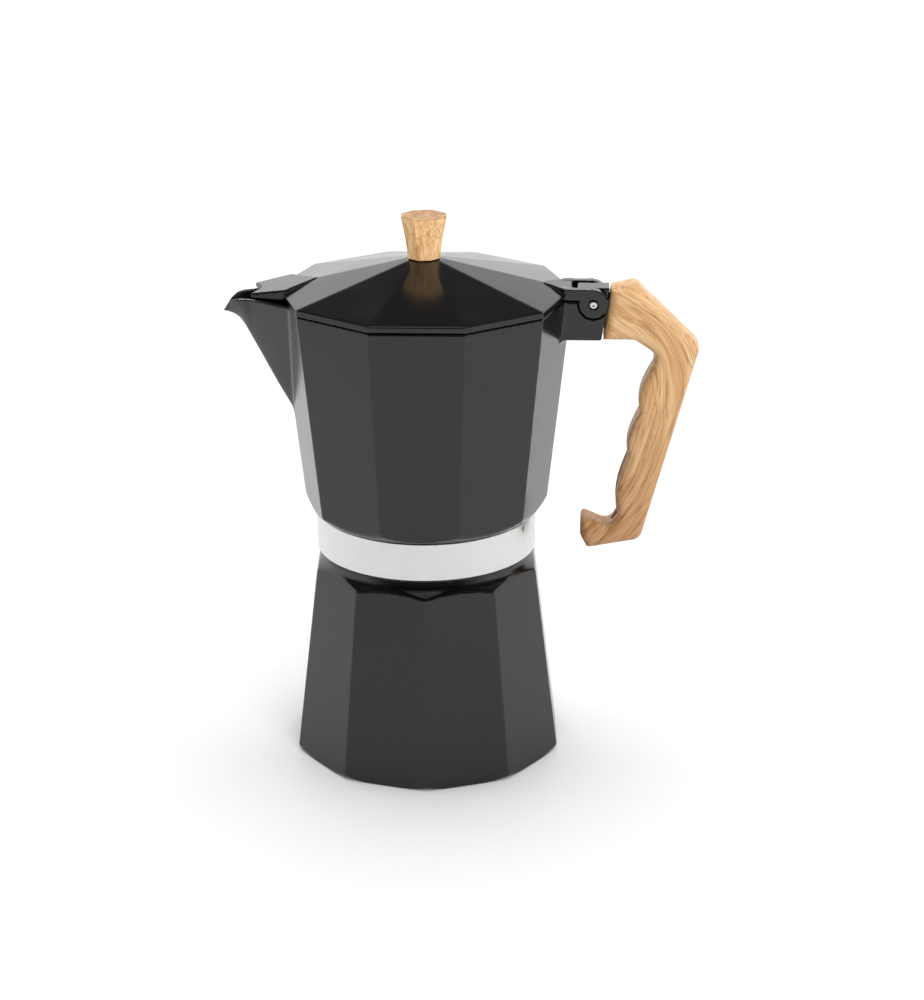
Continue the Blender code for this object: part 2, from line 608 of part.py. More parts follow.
def make_knob(wood, brass, steel):
    bore, bore_top = 3.0, 212.0
    low_radius, high_radius, waist, steps = 6.75, 9.65, 0.35, 6
    profile = [(bore, KNOB_BOTTOM), (low_radius - 0.3, KNOB_BOTTOM)]
    rim = KNOB_TOP - 0.9
    for k in range(steps + 1):
        share = k / steps
        radius = low_radius + (high_radius - low_radius) * share - waist * 4 * share * (1 - share)
        profile.append((radius, KNOB_BOTTOM + 0.4 + (rim - KNOB_BOTTOM - 0.4) * share))
    profile += [(high_radius - 0.3, KNOB_TOP - 0.25), (high_radius - 0.9, KNOB_TOP), (0, KNOB_TOP)]
    profile += [(0, bore_top), (bore, bore_top)]
    make_object("knob", turned(profile, KNOB_SIDES, KNOB_TURN), wood)

    low = KNOB_BOTTOM + GAP
    insert = [(1.5, low), (2.4, low), (2.4, bore_top - 0.6), (1.5, bore_top - 0.6)]
    make_object("knob_insert", turned(insert, 16), brass)

    under = LID_TOP - LID_THICKNESS
    washer = [(1.5, under - GAP - 0.5), (3.8, under - GAP - 0.5), (3.8, under - GAP), (1.5, under - GAP)]
    make_object("knob_washer", turned(washer, SMALL_ROUND), steel)

    top = under - 2 * GAP - 0.5
    screw = [(0, top - 1.4), (0.9, top - 1.4), (0.9, top - 2.2), (2.4, top - 2.2), (3.2, top - 1.4)]
    screw += [(3.2, top), (1.2, top), (1.2, 208), (0, 208.6)]
    make_object("knob_screw", turned(screw, SMALL_ROUND), steel)


def handle_outline():
    """The grip's side view, listed round its edge: (x, z) points, with fillets at the corners and one arc for
    each finger."""
    front_low, front_high = (69.7, 169.85), (72.55, 190.35)
    crown, elbow, heel, toe = (82.1, 192.65), (107.6, 167.6), (85.7, 86.95), (64.5, 83.05)
    hook_back, hook_tip, hook_dip = (61.6, 88.8), (62.0, 97.0), (73.2, 92.0)
    cusps = [(76.5, 97.6), (80.1, 122.0), (84.4, 140.6), (90.2, 161.0)]
    palm, arm_under = (90.4, 164.2), (81.9, 169.85)
    points = [front_low, front_high]
    points += filleted(front_high, crown, elbow, 3.0)
    points += filleted(crown, elbow, heel, 5.0, 8)
    points += filleted(elbow, heel, toe, 4.5, 6)
    points += filleted(heel, toe, hook_back, 1.6)
    points += filleted(toe, hook_back, hook_tip, 6.0)
    points += filleted(hook_back, hook_tip, hook_dip, 1.5)
    points += filleted(hook_tip, hook_dip, cusps[0], 4.5, 7)
    for k, bulge in enumerate((2.0, 1.6, 2.0)):
        points.append(cusps[k])
        points += bulged(cusps[k], cusps[k + 1], bulge)
    points += filleted(cusps[2], palm, arm_under, 3.5)
    points += filleted(palm, arm_under, front_low, 3.0, 3)
    return points


def inward_reach(points, limit):
    """For each outline point, its inward normal and how far it may move in: the limit, or less where the
    outline turns tightly, so that no two points ever cross."""
    count = len(points)
    vectors = [Vector(point) for point in points]
    normals = []
    for k in range(count):
        along = vectors[(k + 1) % count] - vectors[k - 1]
        normals.append(Vector((along.y, -along.x)).normalized())
    reach = []
    for k in range(count):
        room = limit / 0.8
        for j in range(count):
            across = vectors[j] - vectors[k]
            depth = across.dot(normals[k])
            if j != k and depth > 1e-6:
                room = min(room, across.length_squared / (2 * depth))
        reach.append(0.8 * room)
    return list(zip(vectors, normals, reach))


def make_handle(wood, steel):
    levels = 2
    edge = inward_reach(handle_outline(), HANDLE_EDGE)
    rings = []
    for side in (-1, 1):
        half = []
        for level in range(levels + 1):
            angle = math.radians(90) * level / levels
            y = HANDLE_HALF_WIDTH - HANDLE_EDGE * (1 - math.sin(angle))
            inset = 1 - math.sin(math.acos(math.sin(angle)))
            half.append([(*(point + normal * (reach * inset)), side * y) for point, normal, reach in edge])
        rings += half[::-1] if side < 0 else half
    handle = make_object("handle", lofted([[(x, y, z) for x, z, y in ring] for ring in rings]), wood)
    end, low, high, half_width = TONGUE
    slot = box((66, -half_width - GAP, low - GAP), (end + GAP, half_width + GAP, high + GAP))
    combine(handle, "tongue_slot", slot, "DIFFERENCE")
    sink = rod(3.1, (HANDLE_SCREW_X, 0, 165), (HANDLE_SCREW_X, 0, 172.2))
    combine(handle, "screw_sink", sink, "DIFFERENCE")
    way = rod(1.7, (HANDLE_SCREW_X, 0, 171), (HANDLE_SCREW_X, 0, low + 1))
    combine(handle, "screw_way", way, "DIFFERENCE")

    screw = [(0, 171.3), (0.9, 171.3), (0.9, 170.6), (2.4, 170.6), (2.8, 171.0), (2.8, 171.9), (1.2, 171.9)]
    screw += [(1.2, 182.6), (0, 183.2)]
    shape = turned(screw, SMALL_ROUND)
    bmesh.ops.translate(shape, vec=(HANDLE_SCREW_X, 0, 0), verts=shape.verts)
    make_object("handle_screw", shape, steel)


def main():
    clear_scene()
    black = make_material("black_enamel", (0.02, 0.02, 0.021), 0.35, 0.0)
    aluminium = make_material("bare_aluminium", (0.85, 0.85, 0.85), 0.25, 1.0)
    wood = make_material("wood_effect_plastic", (0.62, 0.40, 0.22), 0.45, 0.0)
    steel = make_material("steel", (0.72, 0.72, 0.73), 0.3, 1.0)
    brass = make_material("brass", (0.75, 0.56, 0.25), 0.3, 1.0)
    silicone = make_material("silicone", (0.82, 0.81, 0.78), 0.6, 0.0)
    fibre = make_material("red_fibre", (0.45, 0.08, 0.05), 0.7, 0.0)
    boiler = make_boiler(black)
    make_valve(boiler, brass, steel, fibre)
    make_funnel(aluminium)
    make_seal(silicone, steel)
    make_collar(aluminium)
    make_chamber(black)
    make_riser(aluminium)
    make_lid(black)
    make_hinge_pin(steel)
    make_knob(wood, brass, steel)
    make_handle(wood, steel)


main()
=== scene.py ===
"""Looks of the moka pot, built round its CAD solids.

The castings, the grip and the knob are distance fields: functions that give how far a point is from a
surface, negative inside. sculpt() turns a field into a mesh. Fields are in millimetres, with heights
measured from the lower end of the boiler's facets, FOOT above the ground.
"""

import math

import bmesh
import bpy
import numpy as np
from mathutils import Matrix, Vector


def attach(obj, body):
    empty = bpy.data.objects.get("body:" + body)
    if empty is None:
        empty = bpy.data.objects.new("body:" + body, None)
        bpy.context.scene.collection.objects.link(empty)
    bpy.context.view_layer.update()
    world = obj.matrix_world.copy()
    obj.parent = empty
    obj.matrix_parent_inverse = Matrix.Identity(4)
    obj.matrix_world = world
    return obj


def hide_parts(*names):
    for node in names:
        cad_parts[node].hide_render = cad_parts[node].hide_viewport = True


MM = 0.001
FOOT = 1.8
GAP = 0.3
STEP = math.radians(36)  # between the facets of the castings
COS_HALF = math.cos(STEP / 2)

# Boiler and collar
BOILER_LOW, BOILER_SLOPE, BOILER_TURN = 55.5, -0.12549, 2.2
VALVE_ANGLE, VALVE_TILT, VALVE_HEIGHT = 110.2, 6.8, 50  # the valve's facet, seen from above
COLLAR = (42.1, 43.84, 83.45, 98.7)  # bore, outer radius, low, high
MARK_ANGLE = -26.5

# Upper chamber: corner radius at a height is CHAMBER_LOW + CHAMBER_SLOPE * (height - CHAMBER_BASE)
CHAMBER_LOW, CHAMBER_BASE, CHAMBER_SLOPE = 48.4, 102.73, 0.11076
CHAMBER_RIM, CHAMBER_WALL = 186.24, 2.9
BRACKET_LOW, BRACKET_X, BRACKET_LEAN, BRACKET_COS = 170.6, 68.95, 0.156, 0.988
CONE_RADIUS, CONE_ACROSS, CONE_UP = 44.1, 0.6597, 0.7517  # under the walls, and its normal
SKIRT_RADIUS, SKIRT_LOW, BOSS_RADIUS = 41.8, 83.8, 7.7
THREAD_LOW, THREAD_PITCH = 85.2, 3.0
TONGUE_HALF, TONGUE_X, TONGUE_Z = 2.6, (66, 83), (174, 187)  # inside the grip
SCREW_X, SCREW_RADIUS = 77.5, 1.5

# Lid and hinge
LID_UNDER, LID_RIM_TOP, LID_RADIUS, LID_TOP, LID_HUB = 186.54, 189.04, 57.66, 200.9, 7.0
LID_SLOPE = (LID_TOP - LID_RIM_TOP) / (LID_RADIUS - LID_HUB)
LID_WALL, LID_HOLLOW = 2.4, 54.6
HINGE_X, HINGE_Z, HINGE_TOP, HINGE_HALF, HINGE_BLOCK = 65.7, 185.1, 190.9, 9.0, 4.5
PIN_BORE, KNUCKLE, KNUCKLE_SWEEP = 1.8, 5.65, 8.85

KNOB_LOW, KNOB_TOP = 201.2, 217.95

# Camera: azimuth, elevation and roll in degrees, and what it looks at in metres, from a metre away
CAMERA_LENS, CAMERA_ANGLES = 89.645, (2.555, 20.468, 0.237)
TARGET_HEIGHT, TARGET_ASIDE = 0.102481, 0.01429

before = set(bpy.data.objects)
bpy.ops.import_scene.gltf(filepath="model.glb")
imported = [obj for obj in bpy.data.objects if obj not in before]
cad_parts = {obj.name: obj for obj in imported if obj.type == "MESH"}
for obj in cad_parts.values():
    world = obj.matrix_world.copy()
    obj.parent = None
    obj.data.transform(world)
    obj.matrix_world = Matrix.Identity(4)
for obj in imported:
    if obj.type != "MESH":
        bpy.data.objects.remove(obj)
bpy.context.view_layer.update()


# Distance fields


def cut(a, b, edge):
    """The part that both fields hold, with its edge rounded."""
    return np.minimum(-edge, np.maximum(a, b)) + np.hypot(np.maximum(a + edge, 0), np.maximum(b + edge, 0))


def join(a, b, edge):
    """Both fields together, with the crease between them filled."""
    return -cut(-a, -b, edge)


def faceted(x, y, corner, sides=10, turn=0.0, edge=0.22, slope=0.0):
    """Distance to an upright many-sided cone whose corners are at the given radius."""
    step = math.tau / sides
    half = math.cos(step / 2)
    off = np.mod(np.arctan2(y, x) - math.radians(turn), step) - step / 2
    reach = np.hypot(x, y)
    near = reach * np.cos(off) - corner * half
    far = reach * np.cos(step - np.abs(off)) - corner * half
    return cut(near, far, edge) / math.hypot(1, slope * half)


def bar(low, high, value):
    """Distance to the slab between two values."""
    return np.maximum(low - value, value - high)


class Outline:
    """Distance to a closed outline, read from a fine grid of exact distances."""

    def __init__(self, points, margin=9.0, cell=0.2):
        points = np.array(points, float)
        self.low = points.min(0) - margin
        self.cell = cell
        counts = np.ceil((points.max(0) + margin - self.low) / cell).astype(int) + 1
        a = self.low[0] + cell * np.arange(counts[0])[:, None]
        b = self.low[1] + cell * np.arange(counts[1])[None, :]
        nearest = np.full(counts, 1e9)
        inside = np.zeros(counts, bool)
        for start, end in zip(points, np.roll(points, -1, 0)):
            along = end - start
            share = ((a - start[0]) * along[0] + (b - start[1]) * along[1]) / (along @ along)
            share = np.clip(share, 0, 1)
            gap = (a - start[0] - share * along[0]) ** 2 + (b - start[1] - share * along[1]) ** 2
            nearest = np.minimum(nearest, gap)
            if start[1] != end[1]:
                crossed = (start[1] > b) != (end[1] > b)
                inside ^= crossed & (a < start[0] + (b - start[1]) * along[0] / along[1])
        self.table = np.sqrt(nearest) * np.where(inside, -1, 1)

    def __call__(self, a, b):
        """The distance at given places, blended between the grid's four nearest values."""
        u = np.clip((a - self.low[0]) / self.cell, 0, self.table.shape[0] - 1.001)
        v = np.clip((b - self.low[1]) / self.cell, 0, self.table.shape[1] - 1.001)
        i, j = u.astype(int), v.astype(int)
        u, v = u - i, v - j
        t = self.table
        low = t[i, j] * (1 - v) + t[i, j + 1] * v
        high = t[i + 1, j] * (1 - v) + t[i + 1, j + 1] * v
        return low * (1 - u) + high * u


# Meshes from fields


CORNERS = np.array([(i, j, k) for i in (0, 1) for j in (0, 1) for k in (0, 1)])
BLOCK = 8  # cells along the side of the first blocks that are searched
FLAT_ANGLE = math.radians(0.15)  # faces that turn by less than this are merged


def lattice(counts):
    """Every whole-number place in a box with the given counts along its sides."""
    return np.stack(np.meshgrid(*(np.arange(n) for n in counts), indexing="ij"), -1).reshape(-1, 3)


class Grid:
    """A box of equal cells, searched for the ones that a field's surface passes through."""

    def __init__(self, field, low, high, cell):
        self.field, self.cell = field, cell
        self.low = np.array(low, float)
        self.blocks = np.ceil((np.array(high, float) - self.low) / (BLOCK * cell)).astype(int)
        counts = self.blocks * BLOCK
        self.stride = np.array([(counts[1] + 1) * (counts[2] + 1), counts[2] + 1, 1])

    def at(self, corner):
        """The field at places given in cells."""
        spot = self.low + self.cell * corner
        return self.field(spot[:, 0], spot[:, 1], spot[:, 2])

    def near_surface(self):
        """The cells that may hold some of the surface, found in blocks that get smaller."""
        cells = lattice(self.blocks) * BLOCK
        for size, parts in ((BLOCK, 4), (2, 2)):
            cells = cells[np.abs(self.at(cells + size / 2)) < size * self.cell * 1.1]
            inner = lattice((parts,) * 3) * (size // parts)
            cells = (cells[:, None] + inner[None]).reshape(-1, 3)
        return cells

    def crossed(self):
        """The cells that the surface passes through, and the field at their eight corners."""
        cells = self.near_surface()
        ids = (cells[:, None] + CORNERS[None]) @ self.stride
        points, where = np.unique(ids, return_inverse=True)
        where = where.reshape(ids.shape)
        row, column = self.stride[0], self.stride[1]
        held = self.at(np.stack([points // row, points % row // column, points % column], -1))[where]
        crossing = (held.min(1) < 0) & (held.max(1) >= 0)
        return cells[crossing], held[crossing]

    def points(self, cells, held):
        """One point in each cell: the mean of where the surface cuts the cell's edges."""
        total, count = np.zeros((len(cells), 3)), np.zeros(len(cells))
        for a in range(8):
            for b in range(a + 1, 8):
                if np.abs(CORNERS[a] - CORNERS[b]).sum() != 1:
                    continue
                start, end = held[:, a], held[:, b]
                hit = (start < 0) != (end < 0)
                share = start[hit] / (start[hit] - end[hit])
                total[hit] += CORNERS[a] + (CORNERS[b] - CORNERS[a]) * share[:, None]
                count[hit] += 1
        return self.low + self.cell * (cells + total / count[:, None])

    def faces(self, cells, held):
        """A four-sided face round each grid edge that the surface cuts, facing outwards."""
        keys = cells @ self.stride
        order = np.argsort(keys)
        sorted_keys = keys[order]
        made = []
        for axis in range(3):
            end = (4, 2, 1)[axis]
            u, v = np.eye(3, dtype=int)[(axis + 1) % 3], np.eye(3, dtype=int)[(axis + 2) % 3]
            crossed = np.nonzero((held[:, 0] < 0) != (held[:, end] < 0))[0]
            ring = []
            for shift in (0 * u, -u, -u - v, -v):
                key = (cells[crossed] + shift) @ self.stride
                found = np.clip(np.searchsorted(sorted_keys, key), 0, len(keys) - 1)
                ring.append(np.where(sorted_keys[found] == key, order[found], -1))
            quads = np.stack(ring, -1)
            whole = (quads >= 0).all(1)
            flip = held[crossed, 0] >= 0
            quads[flip] = quads[flip][:, ::-1]
            made.append(quads[whole])
        return np.concatenate(made)


def field_slope(field, points, step=0.08):
    """Which way the field rises, and how fast, at each point."""
    out = []
    for axis in range(3):
        ahead, behind = points.copy(), points.copy()
        ahead[:, axis] += step
        behind[:, axis] -= step
        out.append((field(*ahead.T) - field(*behind.T)) / (2 * step))
    return np.stack(out, -1)


def settle(field, points, cell):
    """Move points along the field's slope until they lie on its surface."""
    for _ in range(3):
        slope = field_slope(field, points)
        move = field(*points.T)[:, None] * slope / np.maximum((slope**2).sum(1), 0.2)[:, None]
        points = points - np.clip(move, -cell / 2, cell / 2)
    return points


def quad_mesh(name, points, faces):
    """A mesh in metres from points in millimetres and rows of four vertex numbers."""
    mesh = bpy.data.meshes.new(name)
    mesh.vertices.add(len(points))
    mesh.vertices.foreach_set("co", ((points + (0, 0, FOOT)) * MM).astype(np.float32).ravel())
    mesh.loops.add(faces.size)
    mesh.loops.foreach_set("vertex_index", faces.astype(np.int32).ravel())
    mesh.polygons.add(len(faces))
    mesh.polygons.foreach_set("loop_start", np.arange(0, faces.size, 4, dtype=np.int32))
    mesh.update(calc_edges=True)
    mesh.validate()
    return mesh


def merge_flats(mesh):
    """Join faces that lie in one plane, and cut the larger faces that result into triangles."""
    shape = bmesh.new()
    shape.from_mesh(mesh)
    bmesh.ops.dissolve_limit(
        shape, angle_limit=FLAT_ANGLE, verts=shape.verts, edges=shape.edges, use_dissolve_boundaries=False
    )
    bmesh.ops.triangulate(shape, faces=[face for face in shape.faces if len(face.verts) > 4])
    shape.to_mesh(mesh)
    shape.free()


def vertex_places(mesh):
    """The mesh's vertices, in metres, one row each."""
    spots = np.empty(len(mesh.vertices) * 3, np.float32)
    mesh.vertices.foreach_get("co", spots)
    return spots.reshape(-1, 3)


def sculpt(name, field, low, high, cell):
    """A mesh of the field's surface inside a box, with the field's own normals."""
    grid = Grid(field, low, high, cell)
    cells, held = grid.crossed()
    points = settle(field, grid.points(cells, held), cell)
    mesh = quad_mesh(name, points, grid.faces(cells, held))
    merge_flats(mesh)
    slope = field_slope(field, vertex_places(mesh).astype(float) / MM - (0, 0, FOOT))
    mesh.shade_smooth()
    length = np.maximum(np.linalg.norm(slope, axis=1), 1e-6)
    mesh.normals_split_custom_set_from_vertices(slope / length[:, None])
    return mesh


def place(name, mesh, material, body, slot, nodes):
    """Put a mesh in the scene, riding on a body in place of its CAD nodes."""
    piece = bpy.data.objects.new(name, mesh)
    bpy.context.scene.collection.objects.link(piece)
    mesh.materials.append(material)
    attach(piece, body)
    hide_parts(*nodes)


# The castings


def smooth_table(xs, ys, spread=1.6):
    """A smooth curve that follows given points, as a function."""
    fine = np.arange(min(xs) - 12, max(xs) + 12, 0.1)
    order = np.argsort(xs)
    knots_x, knots_y = np.array(xs, float)[order], np.array(ys, float)[order]
    first = (knots_y[1] - knots_y[0]) / (knots_x[1] - knots_x[0])
    last = (knots_y[-1] - knots_y[-2]) / (knots_x[-1] - knots_x[-2])
    level = np.interp(fine, knots_x, knots_y)
    level += np.where(fine < knots_x[0], (fine - knots_x[0]) * first, 0)
    level += np.where(fine > knots_x[-1], (fine - knots_x[-1]) * last, 0)
    kernel = np.hanning(int(2 * spread / 0.1) + 1)
    padded = np.pad(level, len(kernel) // 2, "reflect", reflect_type="odd")
    smooth = np.convolve(padded, kernel / kernel.sum(), "valid")
    return lambda x: np.interp(x, fine, smooth)


# The spout's sections from root to tip: where each stands on X, its keel's height, half the width of its
# lip, and its lip's height.
SPOUT_TIP, SPOUT_ROOT = -78.7, -46.0
SPOUT_SECTIONS = (
    (SPOUT_ROOT, 126.0, 24.4, 186.15),
    (-52.1, 137.9, 19.8, 186.15),
    (-58.1, 148.7, 15.3, 186.1),
    (-63.0, 158.3, 11.6, 186.0),
    (-67.4, 166.9, 8.5, 185.9),
    (-70.7, 173.3, 7.6, 185.7),
    (-72.4, 176.0, 7.0, 185.5),
    (-74.2, 177.4, 6.0, 185.0),
    (-76.4, 178.3, 3.6, 183.2),
    (-78.0, 178.75, 1.9, 180.6),
    (SPOUT_TIP, 178.9, 1.0, 179.7),
)
SPOUT_X, SPOUT_KEELS, SPOUT_LIPS, SPOUT_TOPS = zip(*SPOUT_SECTIONS)
SPOUT_KEEL = smooth_table(SPOUT_X, SPOUT_KEELS)
SPOUT_LIP = smooth_table(SPOUT_X, SPOUT_LIPS, 1.0)
SPOUT_TOP = smooth_table(SPOUT_X, SPOUT_TOPS, 1.0)


def spout(x, y, z):
    """The spout's outside and the channel in it, both V-shaped across and open at the top."""
    keel, lip, top = SPOUT_KEEL(x), SPOUT_LIP(x), SPOUT_TOP(x)
    lean = lip / np.maximum(top - keel, 0.5)
    rise = (SPOUT_KEEL(x + 0.5) - SPOUT_KEEL(x - 0.5)) * lean
    scale = np.sqrt(1 + lean**2 + rise**2)
    blunt = np.sqrt(y * y + 0.64) - 0.5
    outside = (blunt - lean * (z - keel)) / scale
    outside = cut(outside, (z - top) * 0.8, 0.25)
    outside = np.maximum(outside, np.maximum(SPOUT_TIP - x, x - SPOUT_ROOT))
    wall = 2.2 - 1.1 * np.clip((x - SPOUT_ROOT) / (SPOUT_TIP - SPOUT_ROOT), 0, 1)
    floor = keel + wall * scale / lean
    channel = (np.sqrt(y * y + 0.3) - 0.3 - lean * (z - floor)) / scale
    channel = np.maximum(channel, x + 42)
    return outside, channel


def turned_inside():
    """The round hollows under the chamber: recess for the seal, thread and the column's bore."""
    points = [(-9, 70), (39.9, 70), (39.9, 83.8), (39.4, 84.4), (39.4, 93.9), (37.3, 94.5), (37.3, 100.5)]
    return points + [(31.5, 100.5), (30, 101.6), (6, 105.4), (4.1, 106.6), (4.1, 130), (-9, 130)]


def thread(x, y, z, first, turns):
    """How far a screw thread stands out, from 0 to 1, along its height and fading at its ends."""
    phase = (z - first) / THREAD_PITCH - np.arctan2(y, x) / math.tau
    ridge = np.clip(1.6 * (0.5 + 0.5 * np.cos(math.tau * phase)) - 0.45, 0, 1)
    last = first + THREAD_PITCH * turns
    return ridge * np.clip(np.minimum(z - first, last - z) / 1.5 + 0.5, 0, 1)


def make_chamber_field():
    """The upper chamber: ten-sided walls, spout, hinge bracket and the threaded skirt under them."""
    hollows = Outline(turned_inside())

    def field(x, y, z):
        radius = np.hypot(x, y)
        corner = CHAMBER_LOW + CHAMBER_SLOPE * (z - CHAMBER_BASE)
        walls = faceted(x, y, corner, slope=CHAMBER_SLOPE)
        cone = (radius - CONE_RADIUS) * CONE_ACROSS - (z - (COLLAR[3] + GAP)) * CONE_UP
        body = cut(walls, np.maximum(cone, COLLAR[3] + GAP - z), 0.7)
        beak, channel = spout(x, y, z)
        body = join(body, beak, 0.8)
        rear = (x - BRACKET_X - BRACKET_LEAN * (z - BRACKET_LOW)) * BRACKET_COS
        block = cut(np.abs(y) - HINGE_HALF, cut(BRACKET_LOW - z, rear, 0.5), 0.7)
        block = np.maximum(block, 45 - x)
        body = join(body, block, 2.2)
        body = cut(body, z - CHAMBER_RIM, 0.65)
        centre = cut(np.abs(y) - HINGE_BLOCK, cut(cut(59.25 - x, z - HINGE_TOP + 0.45, 0.9), rear, 0.4), 0.35)
        body = np.minimum(body, np.maximum(centre, 182 - z))
        tongue = cut(np.abs(y) - TONGUE_HALF, np.maximum(bar(*TONGUE_Z, z), bar(*TONGUE_X, x)), 0.5)
        body = np.minimum(body, tongue)
        inner = faceted(x, y, corner - CHAMBER_WALL, edge=0.8, slope=CHAMBER_SLOPE)
        inner = cut(inner, 104.9 - z, 3.0)
        body = cut(body, -inner, 0.7)
        body = cut(body, -channel, 0.35)
        boss = cut(radius - BOSS_RADIUS, z - 113, 0.6)
        body = join(body, np.maximum(boss, 103 - z), 2.0)
        skirt = np.maximum(cut(radius - SKIRT_RADIUS, SKIRT_LOW - z, 0.4), z - 103)
        body = np.minimum(body, skirt)
        ridge = 0.6 * thread(x, y, z, THREAD_LOW, 2.6)
        hollow = np.maximum(hollows(radius + ridge * (radius > 38.2) * (z < 93.7), z), -60 + 0 * z)
        body = cut(body, -hollow, 0.25)
        across = np.hypot(x - HINGE_X, z - HINGE_Z)
        pocket = np.maximum(across - (HINGE_TOP - HINGE_Z + GAP), HINGE_BLOCK + GAP - np.abs(y))
        body = cut(body, -pocket, 0.12)
        body = cut(body, PIN_BORE - across, 0.2)
        screw = np.maximum(np.hypot(x - SCREW_X, y) - SCREW_RADIUS, z - 183.5)
        return np.maximum(body, -screw)

    return field


def spout_cover(x, y, z):
    """The part of the lid over the spout, and the hollow under it."""
    side = np.abs(y)
    soft = np.sqrt(y * y + 0.5)
    to_end = (x + 41.2) * 0.7215 + soft * 0.6924
    to_side = -(x + 53.1) * 0.281 + (side - 12.4) * 0.9597
    to_front = -(x + 63.2) * 0.905 - soft * 0.425
    top = (z - 190.9 - 0.184 * (x + 53.1)) * 0.983
    plan = cut(cut(to_end, to_side, 0.4), to_front, 0.5)
    cover = cut(cut(plan, top, 0.55), LID_UNDER - z, 0.35)
    within = np.maximum(cut(plan + 1.9, top + 1.9, 0.6), 100 - z)
    return cover, within


def hinge_plate(x, y, z):
    """The flat wedge that widens from the lid's roof to the hinge fork."""
    share = np.clip((x - 44.9) / 10.1, 0, 1)
    half = 0.1 + 8.9 * share
    level = 191.95 - 1.05 * share
    plate = cut((np.abs(y) - half) * 0.75, z - level, 0.4)
    return np.maximum(np.maximum(plate, bar(44.9, 57.6, x)), 188.3 + 1.9 * (1 - share) - z)


def make_lid_field():
    """The lid: a low ten-sided roof with a hollow under it, a spout cover and a hinge fork."""
    tilt = math.cos(math.atan(LID_SLOPE / COS_HALF))

    def roof(x, y, z, lower):
        """Distance above the ten sloping facets and the small flat at the top."""
        off = np.mod(np.arctan2(y, x), STEP) - STEP / 2
        reach = np.hypot(x, y)
        near = reach * np.cos(off) / COS_HALF - LID_HUB
        far = reach * np.cos(STEP - np.abs(off)) / COS_HALF - LID_HUB
        top = LID_TOP - lower
        planes = [(z - top + distance * LID_SLOPE) * tilt for distance in (near, far)]
        return cut(cut(planes[0], planes[1], 0.12), z - top, 0.2)

    def field(x, y, z):
        outer = cut(faceted(x, y, LID_RADIUS), roof(x, y, z, 0), 0.45)
        body = cut(outer, LID_UNDER - z, 0.35)
        hollow = cut(faceted(x, y, LID_HOLLOW, edge=0.8), roof(x, y, z, LID_WALL), 1.5)
        body = cut(body, -hollow, 0.3)

        cover, within = spout_cover(x, y, z)
        body = join(body, cover, 0.5)
        body = cut(body, -within, 0.3)
        body = np.minimum(body, hinge_plate(x, y, z))
        side = np.abs(y)
        knuckle = np.hypot(x - HINGE_X, z - HINGE_Z) - KNUCKLE
        arm = join(knuckle, np.maximum(bar(54, HINGE_X, x), bar(LID_UNDER, HINGE_TOP, z)), 0.5)
        arm = cut(arm, bar(HINGE_BLOCK + GAP, HINGE_HALF, side), 0.25)
        body = join(body, arm, 0.4)
        across = np.hypot(x - HINGE_X, z - HINGE_Z)
        swept = np.maximum(across - KNUCKLE_SWEEP, side - HINGE_BLOCK - GAP)
        body = cut(body, -swept, 0.3)
        body = cut(body, PIN_BORE - across, 0.25)
        return np.maximum(body, 2.0 - np.hypot(x, y))

    return field


def make_boiler_field():
    """The boiler: ten-sided walls under a round shoulder, a threaded neck and the valve's bore."""
    outline = [(-9, -FOOT), (53.2, -FOOT), (55.5, 0), (64, 4), (64, 67), (45.9, 76.5), (44.5, 77.4)]
    outline += [(43.3, 78.3), (42.5, 79.2), (41.9, 80.3), (41.5, 81.6), (41.3, 83.0)]
    outline += [(37.4, 83.0), (37.4, 93.1), (37.0, 93.5)]
    outline += [(34.3, 93.5), (34.3, 82.0), (38.6, 78.6), (40.5, 75.0), (48.5, 5.5), (46.5, 3.5), (-9, 3.5)]
    turned_shape = Outline(outline)
    angle, tilt = math.radians(VALVE_ANGLE), math.radians(VALVE_TILT)
    out = Vector((math.cos(angle) * math.cos(tilt), math.sin(angle) * math.cos(tilt), math.sin(tilt)))
    flat = (BOILER_LOW + BOILER_SLOPE * VALVE_HEIGHT) * COS_HALF

    def field(x, y, z):
        radius = np.hypot(x, y)
        corner = BOILER_LOW + BOILER_SLOPE * z
        walls = faceted(x, y, corner, turn=BOILER_TURN - 90, slope=BOILER_SLOPE)
        ridge = 0.95 * thread(x, y, z, THREAD_LOW, 2.4) * (radius > 36)
        body = cut(walls, turned_shape(radius - ridge * (z > 83.2), z), 0.8)
        px, py, pz = x - flat * math.cos(angle), y - flat * math.sin(angle), z - VALVE_HEIGHT
        along = px * out.x + py * out.y + pz * out.z
        off = np.sqrt(np.maximum(px * px + py * py + pz * pz - along * along, 0))
        bore = np.maximum(off - 5.3, bar(-9, 4, along))
        return np.maximum(body, -bore)

    return field


def fillet_points(before, corner, after, radius, steps=8):
    """The arc that rounds a corner between two straight runs."""
    corner = Vector(corner)
    to_before = (Vector(before) - corner).normalized()
    to_after = (Vector(after) - corner).normalized()
    half = to_before.angle(to_after) / 2
    reach = radius / math.tan(half)
    centre = corner + (to_before + to_after).normalized() * (radius / math.sin(half))
    start, end = corner + to_before * reach, corner + to_after * reach
    first, last = start - centre, end - centre
    sweep = first.angle_signed(last)
    turn = [Matrix.Rotation(-sweep * k / steps, 2) @ first + centre for k in range(steps + 1)]
    return [tuple(point) for point in turn]


def finger(start, end, bulge, steps=14):
    """A run between two finger rests that stands out, fullest towards its lower end."""
    start, end = Vector(start), Vector(end)
    along = end - start
    out = Vector((-along.y, along.x)).normalized()
    points = []
    for k in range(1, steps):
        s = k / steps
        lift = 4 * s * (1 - s) * (1 + 0.35 * (1 - 2 * s))
        points.append(tuple(start + along * s + out * (bulge * lift)))
    return points


